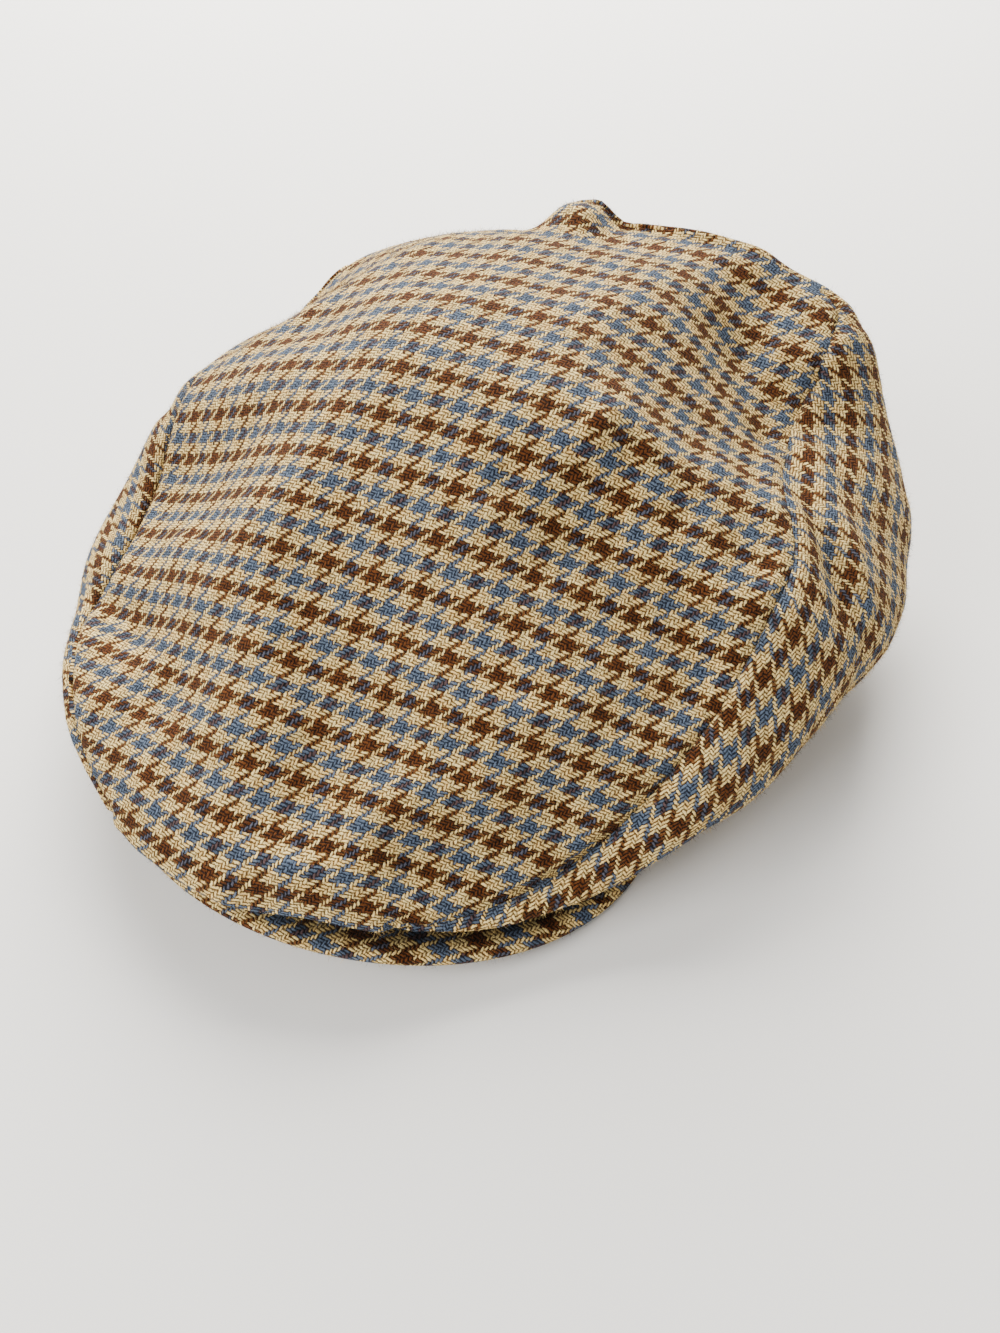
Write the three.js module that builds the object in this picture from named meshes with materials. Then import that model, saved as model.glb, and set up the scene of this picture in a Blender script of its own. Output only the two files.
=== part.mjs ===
// A tweed flat cap, resting rim down: one-piece top, two side panels that meet at the centre back,
// and a stiff covered peak that the top's front lip rolls over. The head goes in from below.
// Millimetres, +Z up, front of the cap towards -Y, floor at z = 0.
import * as THREE from 'three';

// Driving dimensions
const clothThickness = 1.5;     // tweed of a panel with its seam turnings
const sewGap = 0.4;             // clear width left along a seam between two panels
const crownAxisX = -14;         // the top panel's centre line in plan
const gridSteps = 26;           // divisions of the top panel each way
const lipStart = { left: -14, right: 18 };  // half grid steps from the centre where the front lip ends

// The opening for the head is a rounded oval
const rim = { x: -8, y: 17, halfWidth: 87, halfLength: 98, squareness: 2.4 };
const hem = { tread: 5, radius: 3.5, height: 16, wallSteps: 9, bendSteps: 3 };

// The peak lies between an ellipse in front and the rim behind; its top is arched across
const peak = {
  x: -11, frontY: -122, ellipseY: -45, halfWidth: 95.5, halfLength: 77,
  tipBearing: 110, tipTurn: 72, underRim: 6,
  rise: 15.5, arch: 12.5, backSlope: 0.08, thickness: 3.6, edgeEase: 0.25, steps: 44, rings: 4,
};

// The rim lies on the peak with a small clearance, and comes down to the floor just behind its tips
const rimSeat = { clearance: 0.3, rampStart: 77, rampEnd: 91 };

// Sections across the top panel, front to back: the seam's distance from the axis and its height on
// either side, and the height of the ridge on the axis
const topSections = [
  { y: -123.5, left: 0, leftZ: 30, ridge: 30, right: 0, rightZ: 30 },
  { y: -119, left: 32, leftZ: 29, ridge: 34, right: 16, rightZ: 27.5 },
  { y: -109, left: 54, leftZ: 32, ridge: 41, right: 46, rightZ: 25.5 },
  { y: -91, left: 77, leftZ: 38, ridge: 47, right: 67, rightZ: 21 },
  { y: -66, left: 95, leftZ: 39, ridge: 56, right: 87, rightZ: 26 },
  { y: -41, left: 99, leftZ: 42, ridge: 71, right: 102, rightZ: 44 },
  { y: -11, left: 103, leftZ: 50, ridge: 92, right: 110, rightZ: 59 },
  { y: 18, left: 107, leftZ: 68, ridge: 108, right: 113, rightZ: 75 },
  { y: 46, left: 106, leftZ: 70, ridge: 113, right: 101, rightZ: 79 },
  { y: 74, left: 97, leftZ: 68, ridge: 111, right: 95, rightZ: 77 },
  { y: 98, left: 86, leftZ: 78.5, ridge: 107, right: 97, rightZ: 90 },
  { y: 114, left: 67, leftZ: 83, ridge: 100, right: 90.5, rightZ: 98 },
  { y: 121.5, left: 36, leftZ: 88, ridge: 97, right: 50, rightZ: 104 },
  { y: 124, left: 0, leftZ: 98, ridge: 98, right: 0, rightZ: 98 },
];

// How each half section falls from the ridge to the seam: flat is the level share next to the axis,
// hollow sags the slope beyond it
const topSlopes = [
  { y: -123.5, leftFlat: 0, leftHollow: 0, rightFlat: 0, rightHollow: 0 },
  { y: -119, leftFlat: 0, leftHollow: 0, rightFlat: 0, rightHollow: 0 },
  { y: -109, leftFlat: 0, leftHollow: 0, rightFlat: 0.1, rightHollow: 0.3 },
  { y: -91, leftFlat: 0, leftHollow: 0, rightFlat: 0.3, rightHollow: 1.4 },
  { y: -66, leftFlat: 0.1, leftHollow: 1.4, rightFlat: 0.4, rightHollow: 0.4 },
  { y: -41, leftFlat: 0.15, leftHollow: 0.8, rightFlat: 0.2, rightHollow: 0 },
  { y: -11, leftFlat: 0.15, leftHollow: 1.4, rightFlat: 0.15, rightHollow: 2.2 },
  { y: 18, leftFlat: 0.05, leftHollow: 0.7, rightFlat: 0.3, rightHollow: 2 },
  { y: 46, leftFlat: 0, leftHollow: 0.75, rightFlat: 0.28, rightHollow: 2 },
  { y: 74, leftFlat: 0.05, leftHollow: 0.4, rightFlat: 0.38, rightHollow: 2 },
  { y: 98, leftFlat: 0.05, leftHollow: 0.5, rightFlat: 0.4, rightHollow: 1.8 },
  { y: 114, leftFlat: 0, leftHollow: 0.4, rightFlat: 0.4, rightHollow: 0 },
  { y: 121.5, leftFlat: 0, leftHollow: 0.2, rightFlat: 0.2, rightHollow: 0 },
  { y: 124, leftFlat: 0, leftHollow: 0, rightFlat: 0, rightHollow: 0 },
];

// Folds of the top panel in plan: a ridge rises, a valley falls; width is across, fade past the ends
const topFolds = [
  { fold: 'left ridge', start: [-36, -86], end: [-47, -36], rise: 7, width: 22, fade: 20 },
  { fold: 'front hollow', start: [5, -93], end: [5, -61], rise: -5, width: 18, fade: 16 },
  { fold: 'right crease', start: [22, -2], end: [48, 6], rise: -6, width: 9, fade: 9 },
  { fold: 'right lip', start: [44, 24], end: [88, 2], rise: 3, width: 9, fade: 10 },
  { fold: 'back valley', start: [57, 88], end: [56, 104], rise: -6.5, width: 11, fade: 9 },
  { fold: 'back pinch', start: [-16, 116], end: [-17, 128], rise: 9, width: 8, fade: 9 },
  { fold: 'pinch right', start: [-6, 115], end: [-6, 128], rise: 9, width: 7, fade: 10 },
  { fold: 'back crest', start: [10, 118], end: [50, 114], rise: 4.5, width: 9, fade: 8 },
];

// Sections of the wall from the seam to the rim, by turn in degrees from the front round to the back:
// out and dip place the swell below the seam, skirt and lift the one above the rim
const wallSections = {
  left: [
    { turn: 0, out: 2, dip: 5, skirt: 9, lift: 2 },
    { turn: 30, out: 5, dip: 6, skirt: 20, lift: 2 },
    { turn: 45, out: 7, dip: 10, skirt: 40, lift: 2 },
    { turn: 60, out: 12, dip: 8, skirt: 48, lift: 3 },
    { turn: 75, out: 30, dip: 2, skirt: 52, lift: 4 },
    { turn: 90, out: 30, dip: 2, skirt: 54, lift: 4 },
    { turn: 105, out: 14, dip: 10, skirt: 50, lift: 4 },
    { turn: 120, out: 8, dip: 18, skirt: 40, lift: 4 },
    { turn: 138, out: 8, dip: 20, skirt: 28, lift: 4 },
    { turn: 158, out: 5, dip: 24, skirt: 20, lift: 4 },
    { turn: 180, out: 8, dip: 22, skirt: 16, lift: 4 },
  ],
  right: [
    { turn: 0, out: 2, dip: 5, skirt: 9, lift: 2 },
    { turn: 30, out: 5, dip: 6, skirt: 5, lift: 4 },
    { turn: 45, out: 16, dip: 8, skirt: 3, lift: 4 },
    { turn: 60, out: 28, dip: 9, skirt: 4, lift: 9 },
    { turn: 75, out: 33, dip: 13, skirt: 24, lift: 9 },
    { turn: 90, out: 35, dip: 17, skirt: 46, lift: 8 },
    { turn: 105, out: 40, dip: 18, skirt: 73, lift: 9 },
    { turn: 112, out: 44, dip: 15, skirt: 73, lift: 11 },
    { turn: 120, out: 53, dip: 0, skirt: 73, lift: 17 },
    { turn: 138, out: 42, dip: -10, skirt: 47, lift: 21 },
    { turn: 158, out: 19, dip: 4, skirt: 27, lift: 12 },
    { turn: 180, out: 8, dip: 22, skirt: 16, lift: 4 },
  ],
};

const { cos, sin, abs, sqrt, sign, min, max, hypot } = Math;
const radians = THREE.MathUtils.degToRad;
const degrees = THREE.MathUtils.radToDeg;
const clampUnit = (value) => min(1, max(-1, value));

// Length positions of the top panel follow a turn from 0 at the front to 180 degrees at the back
const frontY = topSections[0].y;
const backY = topSections.at(-1).y;
const middleY = (frontY + backY) / 2;
const halfReach = (backY - frontY) / 2;
for (const section of [...topSections, ...topSlopes]) {
  section.turn = degrees(Math.acos(clampUnit((middleY - section.y) / halfReach)));
}

// Smooth reading of one column of a table between its rows
function column(table, turn, name) {
  const last = table.length - 1;
  let row = 0;
  while (row < last - 1 && turn > table[row + 1].turn) row += 1;
  const slopeAt = (k) => {
    const before = table[max(k - 1, 0)];
    const after = table[min(k + 1, last)];
    return (after[name] - before[name]) / (after.turn - before.turn);
  };
  const from = table[row];
  const to = table[row + 1];
  const span = to.turn - from.turn;
  const t = (turn - from.turn) / span;
  const ease = t * t * (3 - 2 * t);
  return from[name] * (1 - ease) + to[name] * ease
    + span * t * (1 - t) * ((1 - t) * slopeAt(row) - t * slopeAt(row + 1));
}

// Height that the folds add at a place in plan
function foldRise(x, y) {
  let rise = 0;
  for (const { start, end, rise: crest, width, fade } of topFolds) {
    const length = hypot(end[0] - start[0], end[1] - start[1]);
    const ux = (end[0] - start[0]) / length;
    const uy = (end[1] - start[1]) / length;
    const along = (x - start[0]) * ux + (y - start[1]) * uy;
    const across = (x - start[0]) * uy - (y - start[1]) * ux;
    const past = max(0, -along, along - length);
    rise += crest * Math.exp(-((across / width) ** 2) - (past / fade) ** 2);
  }
  return rise;
}

// A point of the top panel: s runs from -1 at the left seam to 1 at the right one
function topPoint(s, turn) {
  const side = s < 0 ? 'left' : 'right';
  const read = (name) => column(topSections, turn, name);
  const slope = (name) => column(topSlopes, turn, `${side}${name}`);
  const x = crownAxisX + s * max(read(side), 0);
  const y = middleY - halfReach * cos(radians(turn));
  const flat = slope('Flat');
  const slopeShare = max(0, (abs(s) - flat) / (1 - flat));
  const drop = slopeShare ** 2 * (1 + slope('Hollow') * (1 - slopeShare));
  const z = read('ridge') - (read('ridge') - read(`${side}Z`)) * drop;
  return new THREE.Vector3(x, y, z + foldRise(x, y));
}

// A square grid laid on the panel's rounded outline: a runs left to right, b front to back
function discPlace(a, b) {
  const across = a * sqrt(1 - b * b / 2);
  const along = b * sqrt(1 - a * a / 2);
  const reach = sqrt(max(1 - along * along, 0));
  return { s: reach > 0 ? clampUnit(across / reach) : 0, turn: degrees(Math.acos(clampUnit(-along))) };
}

// Height of the peak's upper face
function peakTop(x, y) {
  const offCentre = min(1, ((x - peak.x) / peak.halfWidth) ** 2);
  return peak.rise - peak.arch * offCentre + peak.backSlope * (y - peak.frontY) * (1 - offCentre);
}

// Height that the rim rests at: on the peak in front, coming down to the floor behind the peak's tips
function restHeight(turn, x, y) {
  const onPeak = 1 - THREE.MathUtils.smoothstep(turn, rimSeat.rampStart, rimSeat.rampEnd);
  return onPeak * (peakTop(x, y) + rimSeat.clearance);
}

// The rim's foot
function rimPoint(side, turn, inset = 0) {
  const power = 2 / rim.squareness;
  const c = cos(radians(turn));
  const hand = side === 'left' ? -1 : 1;
  const x = rim.x + hand * (rim.halfWidth - inset) * sin(radians(turn)) ** power;
  const y = rim.y - sign(c) * (rim.halfLength - inset) * abs(c) ** power;
  return new THREE.Vector3(x, y, restHeight(turn, x, y));
}

// Outward direction in plan, square to the rim
function outward(side, turn) {
  const step = 0.5;
  const before = rimPoint(side, max(turn - step, 0.01));
  const after = rimPoint(side, min(turn + step, 179.99));
  const hand = side === 'left' ? -1 : 1;
  return new THREE.Vector3(hand * (after.y - before.y), hand * (before.x - after.x), 0).normalize();
}

// One column of the wall, from below the seam to the rim, across the flat tread and up the turned-in hem
function wallColumn(side, turn, seam) {
  const read = (name) => column(wallSections[side], turn, name);
  const out = outward(side, turn);
  const foot = rimPoint(side, turn);
  const up = (height) => new THREE.Vector3(0, 0, height);
  const edge = foot.clone().addScaledVector(out, hem.tread);
  edge.z = restHeight(turn, edge.x, edge.y);
  const curve = new THREE.CubicBezierCurve3(
    seam,
    seam.clone().addScaledVector(out, read('out')).add(up(-read('dip'))),
    edge.clone().addScaledVector(out, read('skirt')).add(up(read('lift'))),
    edge,
  );
  const points = curve.getPoints(hem.wallSteps).slice(1);
  points.push(foot);
  for (let k = 1; k <= hem.bendSteps; k += 1) {
    const bend = radians(90 * k / hem.bendSteps);
    const inside = foot.clone().addScaledVector(out, -hem.radius * sin(bend));
    points.push(inside.add(up(hem.radius * (1 - cos(bend)))));
  }
  points.push(foot.clone().addScaledVector(out, -hem.radius).add(up(hem.height)));
  return points;
}

// The whole outer skin of the cloth as one net of quads, each marked with the panel that it belongs to
function clothNet() {
  const points = [];
  const quads = [];
  const gridId = (i, j) => j * (gridSteps + 1) + i;
  const places = [];
  for (let j = 0; j <= gridSteps; j += 1) {
    for (let i = 0; i <= gridSteps; i += 1) {
      const place = discPlace(2 * i / gridSteps - 1, 2 * j / gridSteps - 1);
      places.push(place);
      points.push(topPoint(place.s, place.turn));
    }
  }
  for (let j = 0; j < gridSteps; j += 1) {
    for (let i = 0; i < gridSteps; i += 1) {
      const ids = [gridId(i, j), gridId(i + 1, j), gridId(i + 1, j + 1), gridId(i, j + 1)];
      quads.push({ panel: 'crown_top', ids });
    }
  }
  // the seam loop, once round from the front left corner
  const loop = [];
  for (let k = 0; k < gridSteps; k += 1) loop.push(gridId(k, 0));
  for (let k = 0; k < gridSteps; k += 1) loop.push(gridId(gridSteps, k));
  for (let k = gridSteps; k > 0; k -= 1) loop.push(gridId(k, gridSteps));
  for (let k = gridSteps; k > 0; k -= 1) loop.push(gridId(0, k));
  const columns = loop.map((id) => {
    const { s, turn } = places[id];
    const ids = [id];
    for (const point of wallColumn(s < 0 ? 'left' : 'right', turn, points[id])) {
      ids.push(points.length);
      points.push(point);
    }
    return ids;
  });
  columns.forEach((ids, k) => {
    const next = columns[(k + 1) % columns.length];
    const halfStep = 2 * k + 1 - gridSteps;
    const inLip = k < gridSteps && halfStep > lipStart.left && halfStep < lipStart.right;
    const onRight = k >= gridSteps / 2 && k < gridSteps * 2.5;
    const panel = inLip ? 'crown_top' : onRight ? 'side_panel_right' : 'side_panel_left';
    for (let row = 0; row < ids.length - 1; row += 1) {
      quads.push({ panel, ids: [ids[row], ids[row + 1], next[row + 1], next[row]] });
    }
  });
  return { points, quads };
}

// Surface normals of the whole net, so that neighbouring panels share one mitre along their seam
function netNormals({ points, quads }) {
  const geometry = new THREE.BufferGeometry().setFromPoints(points);
  geometry.setIndex(quads.flatMap(({ ids: [a, b, c, d] }) => [a, b, c, a, c, d]));
  geometry.computeVertexNormals();
  const normals = geometry.getAttribute('normal');
  return points.map((_, id) => new THREE.Vector3().fromBufferAttribute(normals, id));
}

// One panel of the net as a closed wall of cloth, drawn back by half the sewing gap along its edges
function panelSolid(net, normals, panel) {
  const quads = net.quads.filter((quad) => quad.panel === panel).map((quad) => quad.ids);
  const edges = new Map();
  for (const ids of quads) {
    ids.forEach((id, k) => edges.set(`${id} ${ids[(k + 1) % 4]}`, [id, ids[(k + 1) % 4]]));
  }
  const border = [...edges.values()].filter(([a, b]) => !edges.has(`${b} ${a}`));
  const after = new Map(border);
  const before = new Map(border.map(([a, b]) => [b, a]));
  const used = [...new Set(quads.flat())];
  const order = new Map(used.map((id, k) => [id, k]));
  const outer = used.map((id) => {
    const point = net.points[id].clone();
    if (!after.has(id)) return point;
    const along = net.points[after.get(id)].clone().sub(net.points[before.get(id)]);
    const inward = normals[id].clone().cross(along).normalize();
    return point.addScaledVector(inward, sewGap / 2);
  });
  const inner = used.map((id, k) => outer[k].clone().addScaledVector(normals[id], -clothThickness));
  const count = outer.length;
  const index = [];
  for (const ids of quads) {
    const [a, b, c, d] = ids.map((id) => order.get(id));
    index.push(a, b, c, a, c, d);
    index.push(a + count, c + count, b + count, a + count, d + count, c + count);
  }
  // the edge faces of two neighbours are split along the same diagonal, so that they stay parallel
  for (const [from, to] of border) {
    const a = order.get(from);
    const b = order.get(to);
    if (from < to) index.push(b, a, b + count, a, a + count, b + count);
    else index.push(b, a, a + count, b, a + count, b + count);
  }
  const geometry = new THREE.BufferGeometry().setFromPoints([...outer, ...inner]);
  geometry.setIndex(index);
  return geometry;
}

// The peak: sections across it from its front edge to under the rim, with a rounded front edge
function peakSolid() {
  const points = [];
  const half = peak.thickness / 2;
  const ring = [];
  for (let k = 0; k <= peak.steps; k += 1) {
    const t = 2 * k / peak.steps - 1;
    const bearing = radians(peak.tipBearing * t);
    const front = new THREE.Vector2(
      peak.x + peak.halfWidth * sin(bearing), peak.ellipseY - peak.halfLength * cos(bearing));
    const under = rimPoint(t < 0 ? 'left' : 'right', peak.tipTurn * abs(t), peak.underRim);
    const back = new THREE.Vector2(under.x, under.y);
    const ids = [];
    const add = (share, depth) => {
      const place = front.clone().lerp(back, share);
      ids.push(points.length);
      points.push(new THREE.Vector3(place.x, place.y, peakTop(place.x, place.y) - depth));
    };
    const roundShare = half / max(front.distanceTo(back), 2 * half);
    add(0, half);
    add(roundShare / 2, half * peak.edgeEase);
    for (let r = 0; r <= peak.rings; r += 1) add(roundShare + (1 - roundShare) * r / peak.rings, 0);
    for (let r = peak.rings; r >= 0; r -= 1) {
      add(roundShare + (1 - roundShare) * r / peak.rings, peak.thickness);
    }
    add(roundShare / 2, peak.thickness - half * peak.edgeEase);
    ring.push(ids);
  }
  const index = [];
  for (let k = 0; k < peak.steps; k += 1) {
    const size = ring[k].length;
    for (let r = 0; r < size; r += 1) {
      const next = (r + 1) % size;
      const [a, b, c, d] = [ring[k][r], ring[k][next], ring[k + 1][next], ring[k + 1][r]];
      index.push(a, c, b, a, d, c);
    }
  }
  for (let r = 1; r < ring[0].length - 1; r += 1) {
    index.push(ring[0][0], ring[0][r], ring[0][r + 1]);
    index.push(ring.at(-1)[0], ring.at(-1)[r + 1], ring.at(-1)[r]);
  }
  const geometry = new THREE.BufferGeometry().setFromPoints(points);
  geometry.setIndex(index);
  return geometry;
}

function clothMesh(name, geometry, colour) {
  const material = new THREE.MeshStandardMaterial({ color: colour, roughness: 0.95, metalness: 0 });
  const mesh = new THREE.Mesh(geometry, material);
  mesh.name = name;
  return mesh;
}

const net = clothNet();
const normals = netNormals(net);
const cap = new THREE.Group();
cap.add(clothMesh('crown_top', panelSolid(net, normals, 'crown_top'), 0x9c8468));
cap.add(clothMesh('side_panel_left', panelSolid(net, normals, 'side_panel_left'), 0x957d62));
cap.add(clothMesh('side_panel_right', panelSolid(net, normals, 'side_panel_right'), 0x957d62));
cap.add(clothMesh('peak', peakSolid(), 0x8e775d));

// The origin is under the middle of the cap, on the floor
const middle = new THREE.Box3().setFromObject(cap).getCenter(new THREE.Vector3());
cap.children.forEach((mesh) => mesh.geometry.translate(-middle.x, -middle.y, 0));

export default cap;
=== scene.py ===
import math

import bmesh
import bpy
import numpy as np
from mathutils import Matrix, Vector, kdtree, noise


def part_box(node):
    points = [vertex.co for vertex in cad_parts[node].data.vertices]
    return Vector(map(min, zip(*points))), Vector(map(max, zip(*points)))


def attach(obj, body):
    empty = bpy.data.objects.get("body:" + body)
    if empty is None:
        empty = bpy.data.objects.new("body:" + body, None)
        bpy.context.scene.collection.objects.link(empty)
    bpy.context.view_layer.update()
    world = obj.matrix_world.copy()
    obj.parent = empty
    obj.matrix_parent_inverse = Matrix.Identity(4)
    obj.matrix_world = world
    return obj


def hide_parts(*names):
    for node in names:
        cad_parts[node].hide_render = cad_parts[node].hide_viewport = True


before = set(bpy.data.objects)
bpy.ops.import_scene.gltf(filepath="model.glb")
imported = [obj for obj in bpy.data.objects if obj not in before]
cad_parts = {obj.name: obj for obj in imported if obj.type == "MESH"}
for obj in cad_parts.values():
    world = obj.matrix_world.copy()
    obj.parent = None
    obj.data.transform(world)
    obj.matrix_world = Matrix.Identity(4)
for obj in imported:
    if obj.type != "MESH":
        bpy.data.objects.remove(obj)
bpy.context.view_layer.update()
mm = 0.001
print("frame loaded:", ", ".join(sorted(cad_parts)))

# The cap's own shape, in millimetres: front towards -Y, floor at z 0
crown = {
    "axisX": -14,
    "steps": 150,        # divisions of the top panel each way
    "crowding": 0.16,    # draws the divisions closer together near the seam
    "lipLeft": -0.538,   # where the front lip starts and ends along the front
    "lipRight": 0.692,
}
rim = {"x": -8, "y": 17, "halfWidth": 87, "halfLength": 98, "squareness": 2.4}
hand = {"left": -1, "right": 1}    # which way each side lies along X
hem = {
    "tread": 5, "radius": 3.5, "height": 16,
    "wallRows": 34, "bendRows": 5, "hemRows": 5, "curveSteps": 120,
}
peak = {
    "x": -11, "frontY": -122, "ellipseY": -45, "halfWidth": 95.5, "halfLength": 77,
    "tipBearing": 110, "tipTurn": 72, "underRim": 6,
    "rise": 15.5, "arch": 12.5, "backSlope": 0.08, "thickness": 3.6,
    "steps": 220, "topRows": 26, "edgeRows": 10,
    "clothTurn": 2, "clothPhase": 0.375,    # how the check lies on it
    "shadeFrom": 2.2, "shadeRun": 3.5,      # where painted shade darkens it behind its front edge
}
rimSeat = {"clearance": 0.3, "rampStart": 77, "rampEnd": 91}    # turns where the rim comes down off the peak
cloth = {"thickness": 1.4, "gap": 0.05, "repeat": 15}

# sections across the top, front to back
topSections = [
    dict(y=-123.5, left=0, leftZ=30, ridge=30, right=0, rightZ=30),
    dict(y=-119, left=32, leftZ=29, ridge=34, right=16, rightZ=27.5),
    dict(y=-109, left=54, leftZ=32, ridge=41, right=46, rightZ=25.5),
    dict(y=-91, left=77, leftZ=38, ridge=47, right=67, rightZ=21),
    dict(y=-66, left=95, leftZ=39, ridge=56, right=87, rightZ=26),
    dict(y=-41, left=99, leftZ=42, ridge=71, right=102, rightZ=44),
    dict(y=-11, left=103, leftZ=50, ridge=92, right=110, rightZ=59),
    dict(y=18, left=107, leftZ=68, ridge=108, right=113, rightZ=75),
    dict(y=46, left=106, leftZ=70, ridge=113, right=101, rightZ=79),
    dict(y=74, left=97, leftZ=68, ridge=111, right=95, rightZ=77),
    dict(y=98, left=86, leftZ=78.5, ridge=107, right=97, rightZ=90),
    dict(y=114, left=67, leftZ=83, ridge=100, right=90.5, rightZ=98),
    dict(y=121.5, left=36, leftZ=88, ridge=97, right=50, rightZ=104),
    dict(y=124, left=0, leftZ=98, ridge=98, right=0, rightZ=98),
]
# how each half falls from the ridge to the seam
topSlopes = [
    dict(y=-123.5, leftFlat=0, leftHollow=0, rightFlat=0, rightHollow=0),
    dict(y=-119, leftFlat=0, leftHollow=0, rightFlat=0, rightHollow=0),
    dict(y=-109, leftFlat=0, leftHollow=0, rightFlat=0.1, rightHollow=0.3),
    dict(y=-91, leftFlat=0, leftHollow=0, rightFlat=0.3, rightHollow=1.4),
    dict(y=-66, leftFlat=0.1, leftHollow=1.4, rightFlat=0.4, rightHollow=0.4),
    dict(y=-41, leftFlat=0.15, leftHollow=0.8, rightFlat=0.2, rightHollow=0),
    dict(y=-11, leftFlat=0.15, leftHollow=1.4, rightFlat=0.15, rightHollow=2.2),
    dict(y=18, leftFlat=0.05, leftHollow=0.7, rightFlat=0.3, rightHollow=2),
    dict(y=46, leftFlat=0, leftHollow=0.75, rightFlat=0.28, rightHollow=2),
    dict(y=74, leftFlat=0.05, leftHollow=0.4, rightFlat=0.38, rightHollow=2),
    dict(y=98, leftFlat=0.05, leftHollow=0.5, rightFlat=0.4, rightHollow=1.8),
    dict(y=114, leftFlat=0, leftHollow=0.4, rightFlat=0.4, rightHollow=0),
    dict(y=121.5, leftFlat=0, leftHollow=0.2, rightFlat=0.2, rightHollow=0),
    dict(y=124, leftFlat=0, leftHollow=0, rightFlat=0, rightHollow=0),
]
# main folds first, then the smaller creases between them
topFolds = [
    dict(fold="left ridge", start=(-36, -86), end=(-47, -36), rise=7, width=22, fade=20),
    dict(fold="front hollow", start=(5, -93), end=(5, -61), rise=-5, width=18, fade=16),
    dict(fold="right crease", start=(22, -2), end=(48, 6), rise=-6, width=9, fade=9),
    dict(fold="right lip", start=(44, 24), end=(88, 2), rise=3, width=9, fade=10),
    dict(fold="back valley", start=(57, 88), end=(56, 104), rise=-6.5, width=11, fade=9),
    dict(fold="back pinch", start=(-16, 116), end=(-17, 128), rise=9, width=8, fade=9),
    dict(fold="pinch right", start=(-6, 115), end=(-6, 128), rise=9, width=7, fade=10),
    dict(fold="back crest", start=(10, 118), end=(50, 114), rise=4.5, width=9, fade=8),
    dict(fold="pinch side", start=(-36, 110), end=(-28, 118), rise=-2, width=8, fade=6),
    dict(fold="left slope hollow", start=(-72, 40), end=(-48, 16), rise=-2.4, width=13, fade=10),
    dict(fold="left back edge", start=(-100, 36), end=(-58, 84), rise=2, width=7, fade=8),
    dict(fold="left back hollow", start=(-38, 95), end=(-28, 60), rise=-1.6, width=12, fade=10),
    dict(fold="left shelf", start=(-105, -3), end=(-74, 0), rise=-2, width=8, fade=8),
    dict(fold="left wing crest", start=(-84, -36), end=(-58, -54), rise=3, width=8, fade=7),
    dict(fold="left wing groove", start=(-106, -54), end=(-82, -62), rise=-3.2, width=6, fade=6),
    dict(fold="left front edge", start=(-97, -72), end=(-80, -88), rise=1.7, width=7, fade=7),
    dict(fold="left front hollow", start=(-55, -80), end=(-36, -97), rise=-4.3, width=12, fade=9),
    dict(fold="front crest", start=(-32, -62), end=(-14, -76), rise=2.7, width=7, fade=7),
    dict(fold="front dimple", start=(-2, -62), end=(8, -54), rise=1.8, width=7, fade=6),
    dict(fold="front right hollow", start=(18, -73), end=(34, -66), rise=-3.4, width=8, fade=6),
    dict(fold="front right swell", start=(6, -111), end=(20, -98), rise=3.4, width=9, fade=6),
    dict(fold="right seam hollow", start=(30, -90), end=(62, -63), rise=-2.4, width=6, fade=7),
    dict(fold="right shoulder hollow", start=(70, -38), end=(88, -20), rise=-2.5, width=8, fade=6),
    dict(fold="right shoulder crest", start=(50, -50), end=(58, -46), rise=2, width=5, fade=5),
    dict(fold="crease front", start=(34, -18), end=(40, -7), rise=-2, width=6, fade=5),
    dict(fold="crease crest", start=(20, -9), end=(39, 15), rise=3.6, width=5, fade=6),
    dict(fold="crease pocket", start=(48, 18), end=(66, 14), rise=-4.5, width=7, fade=5),
    dict(fold="crease end", start=(50, -12), end=(66, -8), rise=2, width=6, fade=5),
    dict(fold="seam swell", start=(82, -2), end=(96, 6), rise=2.4, width=7, fade=5),
    dict(fold="right back crest", start=(70, 34), end=(86, 31), rise=2.6, width=8, fade=6),
    dict(fold="right back fold", start=(40, 72), end=(58, 60), rise=1.8, width=9, fade=8),
    dict(fold="right back groove", start=(76, 63), end=(87, 54), rise=-2.2, width=6, fade=5),
    dict(fold="corner crest", start=(71, 89), end=(84, 95), rise=2, width=6, fade=5),
]
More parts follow.
